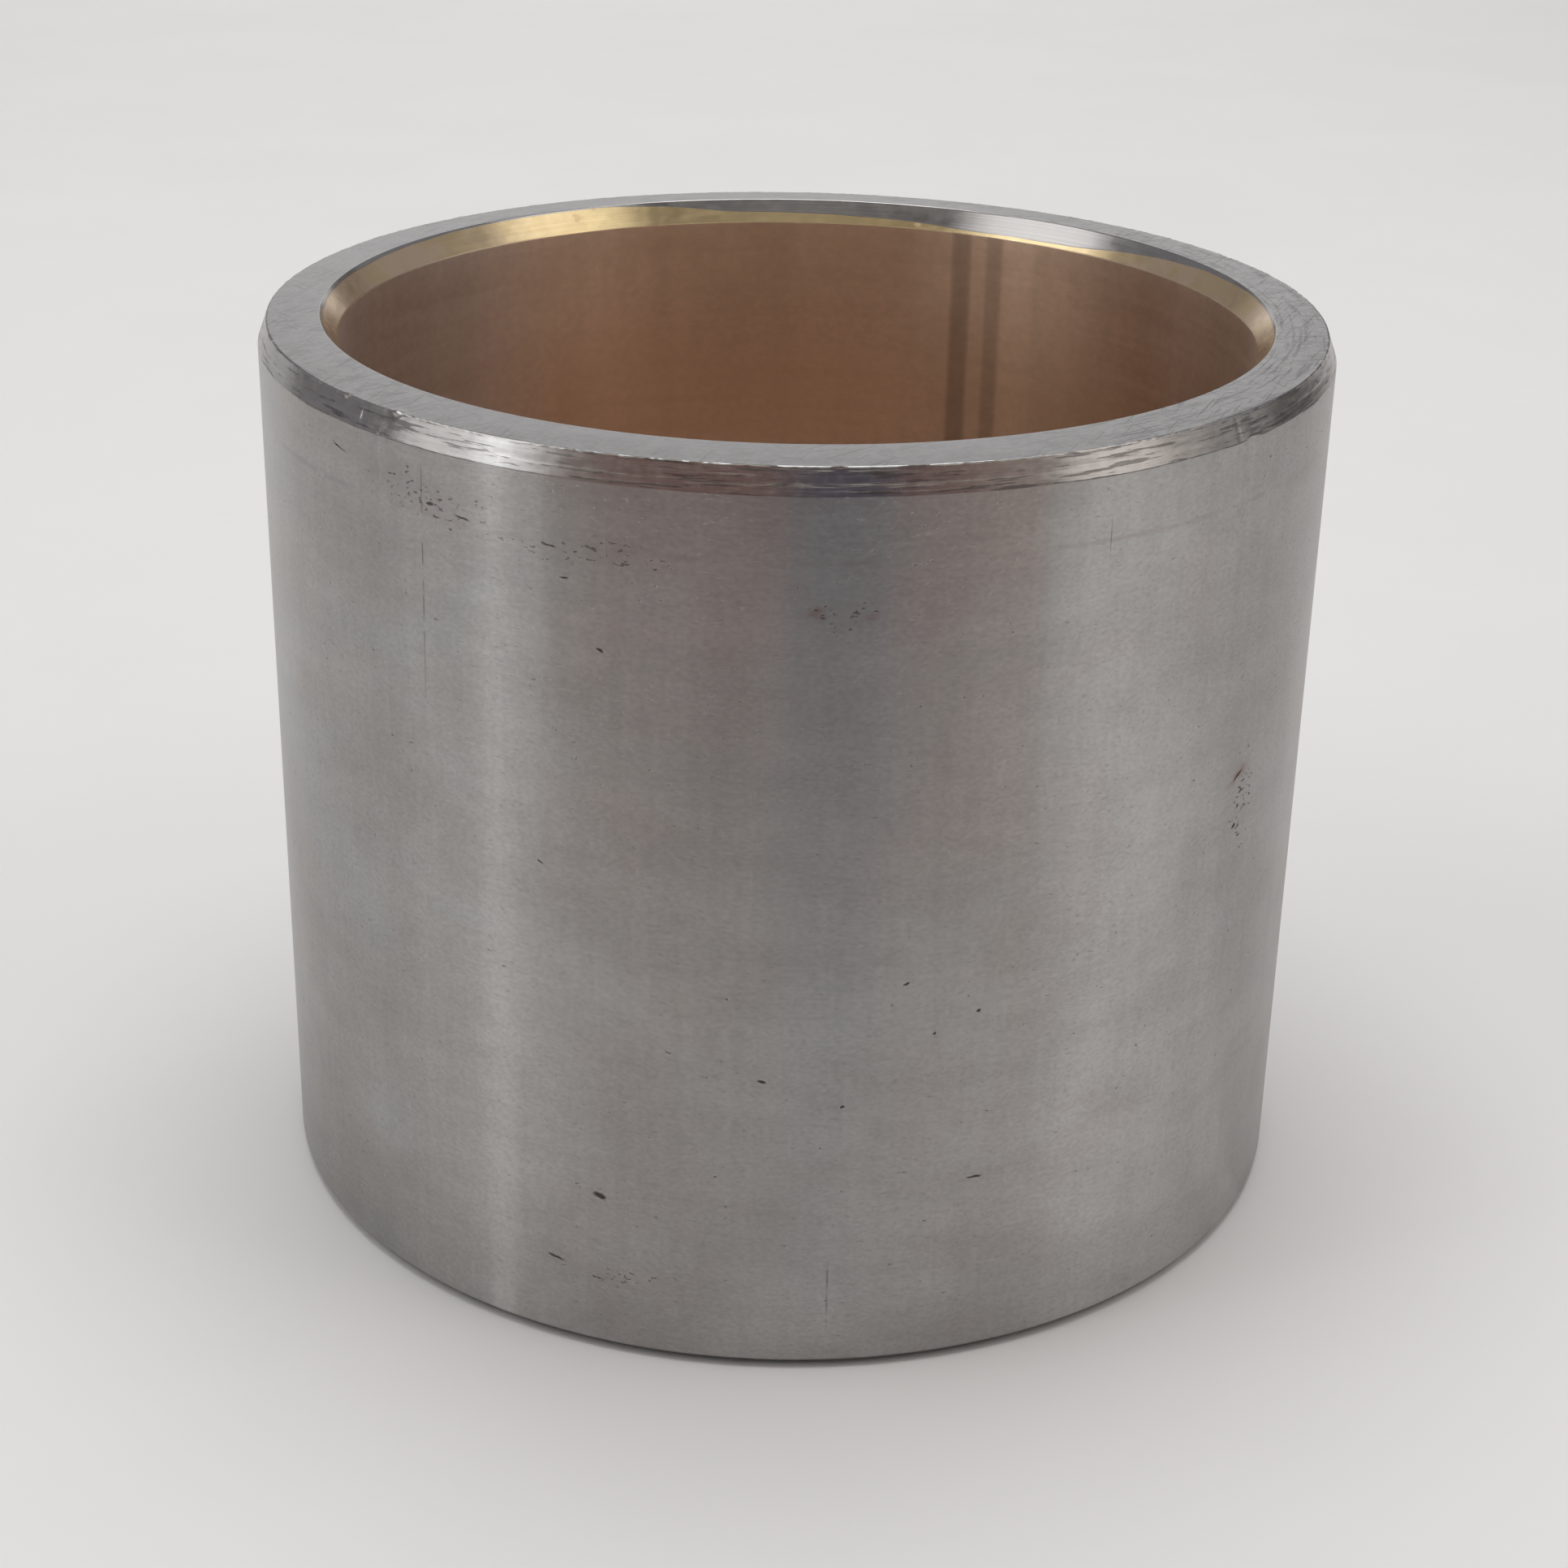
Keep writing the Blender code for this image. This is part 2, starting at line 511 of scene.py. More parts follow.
class Graph:
    """Short calls for building one material's nodes."""

    def __init__(self, name):
        self.material = bpy.data.materials.new(name)
        self.material.use_nodes = True
        self.nodes = self.material.node_tree.nodes
        self.links = self.material.node_tree.links
        self.nodes.clear()
        self.output = self.nodes.new("ShaderNodeOutputMaterial")

    def put(self, socket, value):
        if isinstance(value, bpy.types.NodeSocket):
            self.links.new(value, socket)
        else:
            socket.default_value = value

    def node(self, kind, inputs=(), **settings):
        """A new node with these inputs, each a value or another node's socket, and settings."""
        made = self.nodes.new(kind)
        for key, value in settings.items():
            setattr(made, key, value)
        for key, value in dict(inputs).items():
            self.put(made.inputs[key], value)
        return made

    def math(self, operation, *values):
        made = self.node("ShaderNodeMath", operation=operation)
        for socket, value in zip(made.inputs, values, strict=False):
            self.put(socket, value)
        return made.outputs[0]

    def vector_math(self, operation, first, second):
        made = self.node("ShaderNodeVectorMath", {0: first, 1: second}, operation=operation)
        return made.outputs[0]

    def vector(self, x, y, z):
        return self.node("ShaderNodeCombineXYZ", {"X": x, "Y": y, "Z": z}).outputs[0]

    def noise(self, vector, scale=1.0, detail=3.0, roughness=0.55, distortion=0.0):
        made = self.node(
            "ShaderNodeTexNoise",
            {
                "Vector": vector,
                "Scale": scale,
                "Detail": detail,
                "Roughness": roughness,
                "Distortion": distortion,
            },
        )
        return made.outputs["Fac"]

    def remap(self, value, low, high, new_low=0.0, new_high=1.0):
        """Turns low to high into new_low to new_high, smoothly, and holds the ends beyond them."""
        made = self.node(
            "ShaderNodeMapRange",
            {
                "Value": value,
                "From Min": low,
                "From Max": high,
                "To Min": new_low,
                "To Max": new_high,
            },
            interpolation_type="SMOOTHSTEP",
        )
        return made.outputs[0]

    def mix(self, share, first, second, blend="MIX"):
        made = self.node("ShaderNodeMix", data_type="RGBA", blend_type=blend)
        for index, value in ((0, share), (6, first), (7, second)):
            self.put(made.inputs[index], value)
        return made.outputs[2]

    def place(self):
        """The point on the ring: its direction from the axis, its radius and its height."""
        where = self.node("ShaderNodeTexCoord").outputs["Object"]
        split = self.node("ShaderNodeSeparateXYZ", {0: where})
        x, y, z = split.outputs
        radius = self.math("SQRT", self.plus(self.times(x, x), self.times(y, y)))
        return Place(where, self.math("DIVIDE", x, radius), self.math("DIVIDE", y, radius), radius, z)

    def lay(self, place, around, along, across=None):
        """Noise coordinates with so many features per metre round the ring and along it.

        On a flat end, across is the radius, which takes the place of the height.
        """
        turn = around * size["outer"]
        depth = place.height if across is None else across
        return self.vector(
            self.math("MULTIPLY", place.x, turn),
            self.math("MULTIPLY", place.y, turn),
            self.math("MULTIPLY", depth, along),
        )

    def times(self, *values):
        product = values[0]
        for value in values[1:]:
            product = self.math("MULTIPLY", product, value)
        return product

    def plus(self, *values):
        total = values[0]
        for value in values[1:]:
            total = self.math("ADD", total, value)
        return total

    def shaded(self, colour, shade):
        """The colour made lighter or darker by a factor."""
        return self.mix(1.0, colour, self.vector(shade, shade, shade), blend="MULTIPLY")

    def jittered(self, place, scale, reach):
        """The point moved by noise, to roughen the outline of a mark."""
        noise = self.node("ShaderNodeTexNoise", {"Vector": place.where, "Scale": scale, "Detail": 2.0})
        centred = self.vector_math("SUBTRACT", noise.outputs["Color"], (0.5, 0.5, 0.5))
        spread = (2 * reach, 2 * reach, 2 * reach)
        return self.vector_math("ADD", place.where, self.vector_math("MULTIPLY", centred, spread))

    def marks(self, where, marks, softness):
        """1 inside any of the marks on the outer wall, falling to 0 over their edges."""
        nearest = None
        for mark in marks:
            turn = math.radians(mark.azimuth)
            centre = (size["outer"] * math.sin(turn), -size["outer"] * math.cos(turn), mark.height * MM)
            seen = self.node(
                "ShaderNodeMapping",
                {
                    "Vector": where,
                    "Location": centre,
                    "Rotation": (0, math.radians(-mark.tilt), turn),
                    "Scale": (mark.length * MM / 2, MARK_REACH, mark.width * MM / 2),
                },
                vector_type="TEXTURE",
            )
            away = self.node("ShaderNodeVectorMath", {0: seen.outputs[0]}, operation="LENGTH")
            away = away.outputs["Value"]
            nearest = away if nearest is None else self.math("MINIMUM", nearest, away)
        return self.remap(nearest, 1 - softness, 1 + softness, 1.0, 0.0)

    def hairlines(self, first, second, angle, density, coarseness, threshold):
        """Thin straight scratches at an angle, on a surface laid out by two lengths."""
        cosine, sine = math.cos(math.radians(angle)), math.sin(math.radians(angle))
        along = self.plus(self.times(first, cosine), self.times(second, sine))
        across = self.plus(self.times(first, -sine), self.times(second, cosine))
        lay = self.vector(self.times(along, coarseness), self.times(across, density), float(angle))
        return self.remap(self.noise(lay, detail=1), threshold, threshold + 0.05)

    def metal(self, colour, roughness, micrometres, anisotropic=0.0):
        """Ends the graph in a metal with a fine relief."""
        bump = self.node(
            "ShaderNodeBump",
            {"Height": micrometres, "Distance": 0.001 * MM, "Strength": 1.0},
        )
        tangent = self.node("ShaderNodeTangent", direction_type="RADIAL", axis="Z")
        shader = self.node(
            "ShaderNodeBsdfPrincipled",
            {
                "Base Color": colour,
                "Metallic": 1.0,
                "Roughness": roughness,
                "Anisotropic": anisotropic,
                "Anisotropic Rotation": 0.25,
                "Tangent": tangent.outputs[0],
                "Normal": bump.outputs[0],
            },
        )
        self.links.new(shader.outputs[0], self.output.inputs[0])
        return self.material


def steel_wall():
    """The ground outer wall: satin and cloudy, fine grained, with pits and short dark scratches."""
    graph = Graph("ground_wall")
    at = graph.place()
    clouds = graph.noise(graph.lay(at, 55, 75), detail=4, roughness=0.6)
    smears = graph.noise(graph.lay(at, 160, 420), detail=4, roughness=0.65)
    tint = graph.noise(graph.lay(at, 110, 140), detail=3, distortion=0.4)
    lay = graph.noise(graph.lay(at, 500, 4200), detail=4)
    grain = graph.noise(graph.lay(at, 3300, 5200), detail=3)
    axial = graph.noise(graph.lay(at, 1500, 90), detail=2)
    jittered = graph.jittered(at, 3500, 0.10 * MM)
    cluster = graph.marks(graph.jittered(at, 500, 0.8 * MM), CLUSTERS, 0.8)
    dots = graph.noise(graph.lay(at, 2300, 5200), detail=2)
    torn_grains = graph.remap(dots, 0.66, 0.70)
    threshold = graph.remap(cluster, 0.0, 1.0, 0.74, 0.605)
    dots = graph.remap(graph.math("SUBTRACT", dots, threshold), 0.0, 0.03)
    pits = graph.math("MAXIMUM", graph.marks(jittered, PITS, 0.35), graph.times(dots, 0.7))
    rust = graph.marks(graph.jittered(at, 1800, 0.35 * MM), RUST_SPOTS, 0.7)
    scratches = graph.marks(graph.jittered(at, 900, 0.03 * MM), LONG_SCRATCHES, 0.6)
    patchy = graph.remap(graph.noise(graph.lay(at, 300, 600), detail=3), 0.42, 0.6)
    scratches = graph.times(scratches, patchy)
    girdle = graph.math("ABSOLUTE", graph.math("SUBTRACT", at.height, GIRDLE_LEVEL))
    girdle = graph.remap(girdle, 0.0, GIRDLE_WIDTH, 1.0, 0.0)
    girdle = graph.times(girdle, patchy)

    colour = graph.mix(graph.remap(tint, 0.38, 0.62), STEEL_WARM, STEEL_COOL)
    shade = graph.times(
        graph.remap(clouds, 0.3, 0.7, 0.935, 1.04),
        graph.remap(smears, 0.3, 0.7, 0.95, 1.04),
        graph.remap(lay, 0.25, 0.75, 0.97, 1.03),
        graph.remap(grain, 0.25, 0.75, 0.915, 1.075),
        graph.remap(axial, 0.3, 0.7, 0.975, 1.02),
    )
    colour = graph.shaded(colour, shade)
    colour = graph.mix(graph.times(cluster, patchy, 0.30), colour, STEEL_STAIN)
    colour = graph.mix(graph.times(girdle, 0.5), colour, STEEL_STAIN)
    colour = graph.mix(graph.times(rust, patchy, 0.6), colour, RUST)
    colour = graph.mix(graph.times(scratches, 0.55), colour, PIT)
    colour = graph.mix(graph.times(pits, 0.78), colour, PIT)

    roughness = graph.plus(
        graph.remap(lay, 0.2, 0.8, 0.25, 0.27),
        graph.remap(clouds, 0.3, 0.7, 0.012, -0.012),
        graph.times(pits, 0.3),
    )
    relief = graph.plus(
        graph.times(lay, 0.5),
        graph.times(grain, 0.7),
        graph.times(axial, 0.3),
        graph.times(torn_grains, -9.0),
    )
    return graph.metal(colour, roughness, relief, anisotropic=1.0)


def steel_lead_in():
    """The turned lead-in: nearly a mirror, torn into streaks by the tool."""
    graph = Graph("turned_lead_in")
    at = graph.place()
    rings = graph.noise(graph.lay(at, 60, 9000), detail=3)
    tears = graph.noise(graph.lay(at, 330, 5600), detail=4, roughness=0.6)
    chatter = graph.noise(graph.lay(at, 1700, 260), detail=3)
    spots = graph.noise(graph.lay(at, 1500, 2800), detail=3)
    torn = graph.remap(tears, 0.55, 0.62)
    shade = graph.times(
        graph.remap(rings, 0.3, 0.7, 0.95, 1.05),
        graph.remap(spots, 0.3, 0.7, 0.94, 1.05),
        graph.remap(torn, 0.0, 1.0, 1.05, 0.52),
    )
    colour = graph.shaded(STEEL, shade)
    roughness = graph.plus(
        graph.remap(chatter, 0.3, 0.7, 0.15, 0.20),
        graph.remap(spots, 0.4, 0.7, 0.0, 0.05),
        graph.times(torn, 0.08),
    )
    relief = graph.plus(
        graph.times(rings, 2.2),
        graph.times(tears, 9.0),
        graph.times(chatter, 1.8),
        graph.times(spots, 0.8),
    )
    return graph.metal(colour, roughness, relief)


def steel_face():
    """The faced end: fine rings, crossed by swirls of light scratches."""
    graph = Graph("faced_end")
    at = graph.place()
    rings = graph.noise(graph.lay(at, 120, 7500, across=at.radius), detail=4)
    mottle = graph.noise(at.where, scale=900, detail=3)
    fine = graph.noise(graph.lay(at, 2600, 4200, across=at.radius), detail=3)
    split = graph.node("ShaderNodeSeparateXYZ", {0: at.where})
    x, y = split.outputs[0], split.outputs[1]
    swirls = 0.0
    for family in SWIRLS:
        swirls = graph.math("MAXIMUM", swirls, graph.hairlines(x, y, *family))
    busy = graph.remap(graph.noise(at.where, scale=70, detail=2), 0.35, 0.6, 0.25, 0.8)
    scuffed = graph.remap(at.x, 0.2, 0.9, 0.0, 1.0)
    swirls = graph.times(swirls, graph.plus(busy, scuffed))
    scrapes = graph.noise(graph.lay(at, 230, 4300, across=at.radius), detail=3)
    scrapes = graph.times(graph.remap(scrapes, 0.53, 0.62), scuffed)
    shade = graph.times(
        graph.remap(rings, 0.3, 0.7, 0.93, 1.05),
        graph.remap(mottle, 0.3, 0.7, 0.95, 1.04),
        graph.remap(fine, 0.3, 0.7, 0.95, 1.04),
        graph.remap(swirls, 0.0, 1.0, 1.0, 0.74),
        graph.remap(scrapes, 0.0, 1.0, 1.02, 0.75),
    )
    colour = graph.shaded(STEEL_FACED, shade)
    roughness = graph.plus(graph.remap(rings, 0.3, 0.7, 0.30, 0.37), graph.times(swirls, 0.06))
    relief = graph.plus(
        graph.times(rings, 1.2),
        graph.times(fine, 0.8),
        graph.times(swirls, -3.0),
        graph.times(scrapes, -4.0),
    )
    return graph.metal(colour, roughness, relief)


def chamfer_relief(graph, at):
    """The rings and nibbles that a tool leaves on a chamfer, and their micrometres."""
    rings = graph.noise(graph.lay(at, 70, 8500), detail=3)
    nibbles = graph.noise(graph.lay(at, 900, 1800), detail=3)
    relief = graph.plus(graph.times(rings, 1.4), graph.times(nibbles, 1.0))
    return rings, nibbles, relief


def steel_mouth():
    """The steel that the mouth's chamfer cuts."""
    graph = Graph("chamfered_steel")
    at = graph.place()
    rings, nibbles, relief = chamfer_relief(graph, at)
    shade = graph.times(
        graph.remap(rings, 0.3, 0.7, 0.93, 1.05),
        graph.remap(nibbles, 0.3, 0.7, 0.95, 1.04),
    )
    colour = graph.shaded(STEEL, shade)
    roughness = graph.remap(nibbles, 0.3, 0.7, 0.15, 0.21)
    return graph.metal(colour, roughness, relief)


def bronze_mouth():
    """The bronze that the mouth's chamfer cuts, bright and freshly turned, with a few stains."""
    graph = Graph("chamfered_bronze")
    at = graph.place()
    rings, nibbles, relief = chamfer_relief(graph, at)
    stains = graph.noise(graph.lay(at, 420, 700), detail=3, roughness=0.6)
    stains = graph.remap(stains, 0.61, 0.74)
    patches = graph.noise(graph.lay(at, 260, 420), detail=3, roughness=0.6)
    # paler, bluer bronze in patches towards the left and right sides
    beside = graph.remap(graph.math("ABSOLUTE", at.x), 0.5, 0.98)
    side_tint = graph.times(graph.remap(patches, 0.38, 0.6, 0.35, 1.0), beside, 0.9)
    colour = graph.mix(graph.remap(rings, 0.3, 0.7), BRONZE_CUT, BRONZE_CUT_PALE)
    colour = graph.mix(side_tint, colour, BRONZE_SIDE_TINT)
    colour = graph.mix(graph.times(stains, 0.25), colour, BRONZE_STAIN)
    roughness = graph.plus(graph.remap(nibbles, 0.3, 0.7, 0.18, 0.25), graph.times(stains, 0.1))
    return graph.metal(colour, roughness, relief)


def bore_stripes(graph, at, stripes):
    """Soft stripes that run down the bore. They carry its dark stripes, its painted highlight, its
    painted sheen and its painted shade.
    """
    total = 0.0
    for azimuth, half_width, strength in stripes:
        turn = math.radians(azimuth)
        facing = graph.plus(graph.times(at.x, math.sin(turn)), graph.times(at.y, -math.cos(turn)))
        inner = math.cos(math.radians(0.45 * half_width))
        outer = math.cos(math.radians(1.25 * half_width))
        total = graph.plus(graph.remap(facing, outer, inner, 0.0, strength), total)
    return total


def bronze_bore():
    """The bored lining: satin bronze with fine rings, cloudy brown and a few dark stripes, with a painted
    highlight, painted sheen at its sides and painted shade further down.
    """
    graph = Graph("bronze_bore")
    at = graph.place()
    rings = graph.noise(graph.lay(at, 90, 3200), detail=4)
    mottle = graph.noise(graph.lay(at, 150, 130), detail=4, roughness=0.62)
    streaks = graph.noise(graph.lay(at, 420, 45), detail=3)
    fine = graph.noise(graph.lay(at, 1500, 2400), detail=3)
    # dark stripes, and one paler stripe that is a painted highlight
    stripes = bore_stripes(graph, at, BORE_STRIPES_AND_HIGHLIGHT)
    # painted sheen: paler bronze at the bore's two sides
    pale = bore_stripes(graph, at, BORE_SHEEN_SIDES)
    colour = graph.mix(graph.remap(mottle, 0.35, 0.65), BRONZE, BRONZE_DARK)
    # Painted shade: further down the bore the bronze turns darker and deeper in colour, darker still in
    # one stripe.
    shade_down_bore = graph.remap(at.height, size["bore_top"], size["bore_top"] - BORE_SHADE_DEPTH)
    deep = graph.times(shade_down_bore, bore_stripes(graph, at, BORE_DEEP_SHADE_STRIPES))
    colour = graph.mix(graph.times(shade_down_bore, 0.8), colour, BRONZE_DEEP_SHADE)
    # the painted sheen at the sides
    colour = graph.mix(pale, colour, BRONZE_SHEEN)
    shade = graph.times(
        graph.remap(rings, 0.3, 0.7, 0.985, 1.012),
        graph.remap(fine, 0.3, 0.7, 0.955, 1.035),
        graph.remap(streaks, 0.3, 0.7, 0.97, 1.025),
        graph.math("SUBTRACT", 1.0, stripes),
        graph.math("SUBTRACT", 1.0, deep),
    )
    colour = graph.shaded(colour, shade)
    roughness = graph.plus(graph.remap(rings, 0.3, 0.7, 0.38, 0.41), graph.times(mottle, 0.06))
    relief = graph.plus(graph.times(rings, 0.35), graph.times(fine, 0.8))
    return graph.metal(colour, roughness, relief, anisotropic=0.3)


# ---------------------------------------------------------------- stage, light and camera

FLOOR_RADIUS = 4.0
FLOOR_STEPS = 96
FLOOR_DROP = 0.0001  # under the part, so that no faces coincide
FLOOR_FADE = (0.40, 1.0)  # where the floor melts into the background
SEEN_FLOOR = (0.93, 0.93, 0.92, 1)

# The mirrored floor: its colour, and its bright sectors, each by its azimuth, its inner and outer
# half widths in degrees, and its gain. The sectors fan out from one point.
MIRRORED_FLOOR = (0.80, 0.79, 0.78, 1)
FLOOR_GLOWS = ((77, 11, 21, 0.18), (-64, 1.4, 3.0, 0.32), (100, 2.0, 5.0, 0.12))
GLOW_CENTRE = (0.0, -0.0185, 0.0)
SHADED_PLACE = (0.0, -0.10, 0.0)  # the middle of its shaded spot
SHADED_REACH = (0.012, 0.065)
SHADED_GAIN = 0.76

ROOM_COLOUR = (0.17, 0.155, 0.15)
BACKGROUND_COLOUR = (0.90, 0.90, 0.89)

# The card's colours, with where one turns into the next. Across, that is from -1 on the left to 1
# on the right, and up it is in metres.
CARD_COLOUR = (0.235, 0.15, 0.14, 1)
CARD_BLUE = (0.115, 0.11, 0.14, 1)
CARD_BLUE_CENTRE = 0.15
CARD_BLUE_EDGE = (0.07, 0.27)
CARD_LEFT_END = (0.35, 0.30, 0.28, 1)
CARD_LEFT_EDGE = (-0.50, -0.72)
CARD_RIGHT_END = (0.44, 0.36, 0.33, 1)
CARD_RIGHT_EDGE = (0.40, 0.78)
CARD_TOP = (0.85, 0.82, 0.68, 1)
CARD_TOP_EDGE = (0.118, 0.132)
CARD_DISTANCE = 0.15
CARD_SPAN = (-46, 47)
CARD_HEIGHT = 0.16
CARD_STEPS = 16

OVERHEAD_SIZE = 0.6
OVERHEAD_HEIGHT = 0.85
OVERHEAD_BACK = 0.10
OVERHEAD_RADIANCE = 3.2

# The other lights: azimuths and elevations in degrees, as seen from the part's top, and the
# radiance that a mirror there would show.
LIGHT_DISTANCE = 0.6
PLAIN = (1.0, 1.0, 1.0)
WARM = (1.0, 0.93, 0.88)
COOL = (0.95, 0.98, 1.0)
COLD = (0.92, 0.99, 1.15)
Softbox = namedtuple("Softbox", "name azimuths elevations radiance tint")
SOFTBOXES = (
    Softbox("left_low", (-87, -62), (7, 38), 0.98, PLAIN),
    Softbox("left_near", (-62, -53), (7, 38), 0.88, PLAIN),
    Softbox("left_edge", (-53, -49.5), (7, 38), 0.66, PLAIN),
    Softbox("left_fade", (-49.5, -46.5), (7, 38), 0.44, PLAIN),
    Softbox("left_strip", (-65.5, -59), (9, 34), 1.36, COOL),
    Softbox("left_strip_foot", (-63.4, -59.4), (1, 9), 1.60, COOL),
    Softbox("left_high", (-104, -60), (38, 56), 1.48, PLAIN),
    Softbox("left_rear", (-147, -89), (0, 42), 0.10, COLD),
    Softbox("left_back", (-162, -148), (0, 14), 0.18, COOL),
    Softbox("left_far", (-166, -125), (-4, 4), 0.42, COOL),
    Softbox("right_low", (52.5, 94), (7, 40), 0.46, WARM),
    Softbox("right_fade", (94, 102), (1, 30), 0.28, PLAIN),
    Softbox("right_middle", (58, 79), (7, 40), 0.58, WARM),
    Softbox("right_sliver", (106, 110), (4, 36), 0.50, PLAIN),
    Softbox("right_high", (60, 104), (40, 56), 1.14, PLAIN),
    Softbox("right_rear", (104, 150), (14, 42), 0.13, COLD),
    Softbox("back_panel", (161, 199), (1, 34), 0.60, PLAIN),
    Softbox("front_high", (-44, 44), (51, 63), 0.20, PLAIN),
)


def disc_mesh(name, radii):
    """A flat disc of rings of faces."""
    points = [(0, 0, 0)]
    for radius in radii:
        for k in range(FLOOR_STEPS):
            angle = 2 * math.pi * k / FLOOR_STEPS
            points.append((radius * math.cos(angle), radius * math.sin(angle), 0))
    faces = [(0, 1 + k, 1 + (k + 1) % FLOOR_STEPS) for k in range(FLOOR_STEPS)]
    for ring in range(len(radii) - 1):
        inner, outer = 1 + ring * FLOOR_STEPS, 1 + (ring + 1) * FLOOR_STEPS
        for k in range(FLOOR_STEPS):
            j = (k + 1) % FLOOR_STEPS
            faces.append((inner + k, outer + k, outer + j, inner + j))
    mesh = bpy.data.meshes.new(name)
    mesh.from_pydata(points, [], faces)
    return mesh


def add_stage(name, mesh, material):
    """Puts a stage mesh in the scene, which isn't part of the object."""
    piece = bpy.data.objects.new(name, mesh)
    mesh.materials.append(material)
    bpy.context.scene.collection.objects.link(piece)
    return piece


def only_mirrored(piece):
    """The piece shows in reflections, and neither lights nor shades anything."""
    piece.visible_camera = False
    piece.visible_diffuse = False
    piece.visible_transmission = False
    piece.visible_volume_scatter = False
    piece.visible_shadow = False


def floor_paint(name, colour, glow_of=None):
    """Matt paint, very slightly mottled, as a graph that more can be added to."""
    graph = Graph(name)
    where = graph.node("ShaderNodeTexCoord").outputs["Object"]
    mottle = graph.noise(where, scale=30, detail=3)
    shade = graph.remap(mottle, 0.3, 0.7, 0.985, 1.0)
    if glow_of:
        shade = graph.times(shade, glow_of(graph, where))
    tone = graph.shaded(colour, shade)
    shader = graph.node("ShaderNodeBsdfPrincipled", {"Base Color": tone, "Roughness": 0.9})
    graph.links.new(shader.outputs[0], graph.output.inputs[0])
    return graph


def melt_away(graph):
    """Far from the part the floor glows like the background, so that no dark band shows behind it."""
    where = graph.node("ShaderNodeTexCoord").outputs["Object"]
    distance = graph.node("ShaderNodeVectorMath", {0: where}, operation="LENGTH").outputs["Value"]
    glow = graph.node("ShaderNodeEmission", {"Color": (*BACKGROUND_COLOUR, 1)})
    mix = graph.node("ShaderNodeMixShader", {0: graph.remap(distance, *FLOOR_FADE)})
    near_floor = graph.output.inputs[0].links[0].from_socket
    graph.links.new(near_floor, mix.inputs[1])
    graph.links.new(glow.outputs[0], mix.inputs[2])
    graph.links.new(mix.outputs[0], graph.output.inputs[0])


def floor_glow(graph, where):
    """How the window light falls on the mirrored floor: brighter sectors and a shaded spot."""
    shade = graph.node("ShaderNodeVectorMath", {0: where, 1: SHADED_PLACE}, operation="DISTANCE")
    gain = graph.remap(shade.outputs["Value"], *SHADED_REACH, SHADED_GAIN, 1.0)
    outward = graph.vector_math("SUBTRACT", where, GLOW_CENTRE)
    outward = graph.node("ShaderNodeVectorMath", {0: outward}, operation="NORMALIZE").outputs[0]
    for azimuth, inner, outer, strength in FLOOR_GLOWS:
        turn = math.radians(azimuth)
        toward_glow = (math.sin(turn), -math.cos(turn), 0.0)
        facing = graph.node("ShaderNodeVectorMath", {0: outward, 1: toward_glow}, operation="DOT_PRODUCT")
        edge, core = math.cos(math.radians(outer)), math.cos(math.radians(inner))
        lit = graph.remap(facing.outputs["Value"], edge, core, 1.0, 1.0 + strength)
        gain = graph.times(gain, lit)
    return gain


def make_floor():
    """A pale floor, and a dimmer one in its place for the metal to mirror."""
    radii = [0.12, 0.4, 1.2, FLOOR_RADIUS]
    paint = floor_paint("pale_floor", SEEN_FLOOR)
    melt_away(paint)
    seen = add_stage("floor", disc_mesh("floor", radii), paint.material)
    seen.location.z = size["base"] - 2 * FLOOR_DROP
    seen.visible_glossy = False
    paint = floor_paint("mirrored_floor", MIRRORED_FLOOR, floor_glow)
    mirrored = add_stage("floor_mirrored", disc_mesh("floor_mirrored", radii), paint.material)
    mirrored.location.z = size["base"] - FLOOR_DROP
    only_mirrored(mirrored)


def make_card():
    """A dim card at the camera's side, which the metal mirrors in place of the floor there."""
    mesh = bpy.data.meshes.new("dim_card")
    points = []
    for azimuth in np.radians(np.linspace(*CARD_SPAN, CARD_STEPS + 1)):
        x, y = CARD_DISTANCE * math.sin(azimuth), -CARD_DISTANCE * math.cos(azimuth)
        points += [(x, y, 0), (x, y, CARD_HEIGHT)]
    faces = [(2 * k, 2 * k + 2, 2 * k + 3, 2 * k + 1) for k in range(CARD_STEPS)]
    mesh.from_pydata(points, [], faces)
    graph = Graph("dim_card")
    split = graph.node("ShaderNodeSeparateXYZ", {0: graph.node("ShaderNodeTexCoord").outputs["Object"]})
    side = graph.math("DIVIDE", split.outputs[0], CARD_DISTANCE)
    off_centre = graph.math("ABSOLUTE", graph.math("SUBTRACT", side, CARD_BLUE_CENTRE))
    tone = graph.mix(graph.remap(off_centre, *CARD_BLUE_EDGE), CARD_BLUE, CARD_COLOUR)
    tone = graph.mix(graph.remap(side, *CARD_LEFT_EDGE), tone, CARD_LEFT_END)
    tone = graph.mix(graph.remap(side, *CARD_RIGHT_EDGE), tone, CARD_RIGHT_END)
    tone = graph.mix(graph.remap(split.outputs[2], *CARD_TOP_EDGE), tone, CARD_TOP)
    glow = graph.node("ShaderNodeEmission", {"Color": tone})
    graph.links.new(glow.outputs[0], graph.output.inputs[0])
    only_mirrored(add_stage("dim_card", mesh, graph.material))


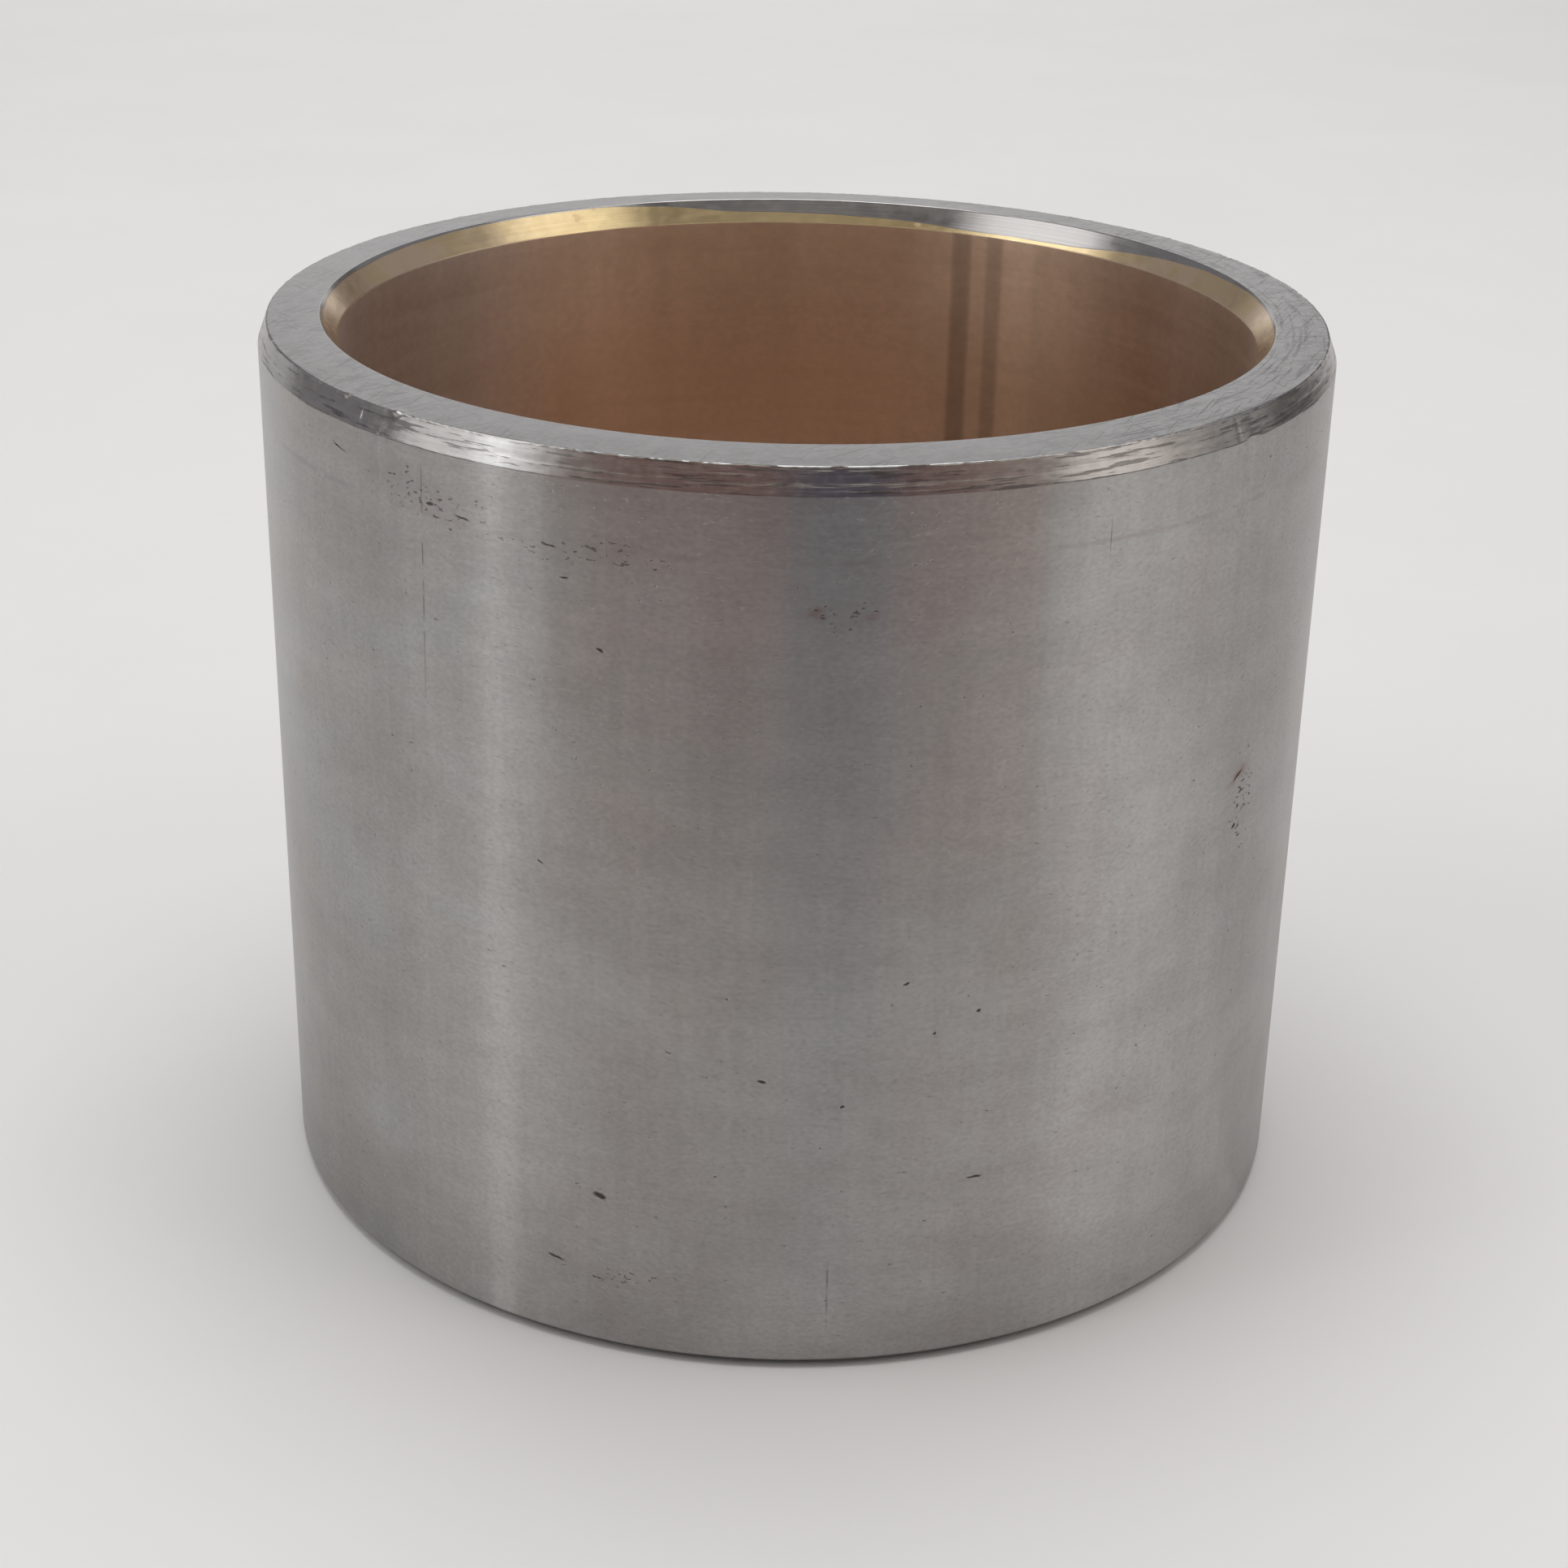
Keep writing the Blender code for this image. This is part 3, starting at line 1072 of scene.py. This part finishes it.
def make_room():
    """A dim room for the metal to mirror, and a pale background behind the floor."""
    world = bpy.data.worlds.new("room")
    world.use_nodes = True
    tree = world.node_tree
    tree.nodes.clear()
    output = tree.nodes.new("ShaderNodeOutputWorld")
    dim = tree.nodes.new("ShaderNodeBackground")
    dim.inputs[0].default_value = (*ROOM_COLOUR, 1)
    pale = tree.nodes.new("ShaderNodeBackground")
    pale.inputs[0].default_value = (*BACKGROUND_COLOUR, 1)
    path = tree.nodes.new("ShaderNodeLightPath")
    mix = tree.nodes.new("ShaderNodeMixShader")
    tree.links.new(path.outputs["Is Camera Ray"], mix.inputs[0])
    tree.links.new(dim.outputs[0], mix.inputs[1])
    tree.links.new(pale.outputs[0], mix.inputs[2])
    tree.links.new(mix.outputs[0], output.inputs[0])
    bpy.context.scene.world = world


def make_softbox(box):
    """A rectangular light facing the part, as bright as a mirror of it shows."""
    turn = math.radians(sum(box.azimuths) / 2)
    rise = math.radians(sum(box.elevations) / 2)
    half_turn = math.radians(box.azimuths[1] - box.azimuths[0]) / 2
    half_rise = math.radians(box.elevations[1] - box.elevations[0]) / 2
    data = bpy.data.lights.new(box.name, "AREA")
    data.shape = "RECTANGLE"
    data.size = 2 * LIGHT_DISTANCE * math.tan(half_turn) * abs(math.cos(rise))
    data.size_y = 2 * LIGHT_DISTANCE * math.tan(half_rise)
    data.energy = box.radiance * math.pi * data.size * data.size_y
    data.color = box.tint
    lamp = bpy.data.objects.new(box.name, data)
    bpy.context.scene.collection.objects.link(lamp)
    away = Vector((math.sin(turn) * math.cos(rise), -math.cos(turn) * math.cos(rise), math.sin(rise)))
    lamp.location = Vector((0, 0, size["top"])) + away * LIGHT_DISTANCE
    lamp.rotation_mode = "QUATERNION"
    lamp.rotation_quaternion = away.to_track_quat("Z", "Y")
    lamp.visible_camera = False


def make_overhead():
    """A wide soft light above, which lights the floor and the bore."""
    data = bpy.data.lights.new("overhead", "AREA")
    data.shape = "SQUARE"
    data.size = OVERHEAD_SIZE
    data.energy = OVERHEAD_RADIANCE * math.pi * OVERHEAD_SIZE**2
    lamp = bpy.data.objects.new("overhead", data)
    bpy.context.scene.collection.objects.link(lamp)
    lamp.location = (0, OVERHEAD_BACK, OVERHEAD_HEIGHT)
    lamp.visible_camera = False


def make_camera():
    data = bpy.data.cameras.new("camera")
    data.lens = CAMERA_LENS
    data.sensor_width = CAMERA_SENSOR
    data.clip_start = 0.01
    data.clip_end = 20
    camera = bpy.data.objects.new("camera", data)
    bpy.context.scene.collection.objects.link(camera)
    camera.matrix_world = (
        Matrix.Translation(CAMERA_PLACE)
        @ Matrix.Rotation(-CAMERA_YAW, 4, "Z")
        @ Matrix.Rotation(math.pi / 2 - CAMERA_PITCH, 4, "X")
        @ Matrix.Rotation(CAMERA_ROLL, 4, "Z")
    )
    bpy.context.scene.camera = camera


# ---------------------------------------------------------------- build

top_bond = bond_radius(TOP_BRONZE_SHARE, seed=3)
base_bond = bond_radius(BASE_BRONZE_SHARE, seed=5)

wall_steel = steel_wall()
steel = {
    "wall": wall_steel,
    "lead_in": steel_lead_in(),
    "face": steel_face(),
    "mouth": steel_mouth(),
    "hidden": wall_steel,
}
bore_bronze = bronze_bore()
bronze = {"mouth": bronze_mouth(), "bore": bore_bronze, "hidden": bore_bronze}

shell = make_ring("shell_turned", shell_corners(top_bond, base_bond), shell_relief, steel)
lining = make_ring("lining_bored", lining_corners(top_bond, base_bond), lining_relief, bronze)

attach(shell, "root")
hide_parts("steel_shell")
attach(lining, "root")
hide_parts("bronze_lining")

make_floor()
make_card()
make_room()
for box in SOFTBOXES:
    make_softbox(box)
make_overhead()
make_camera()
bpy.context.scene.view_settings.view_transform = "Standard"
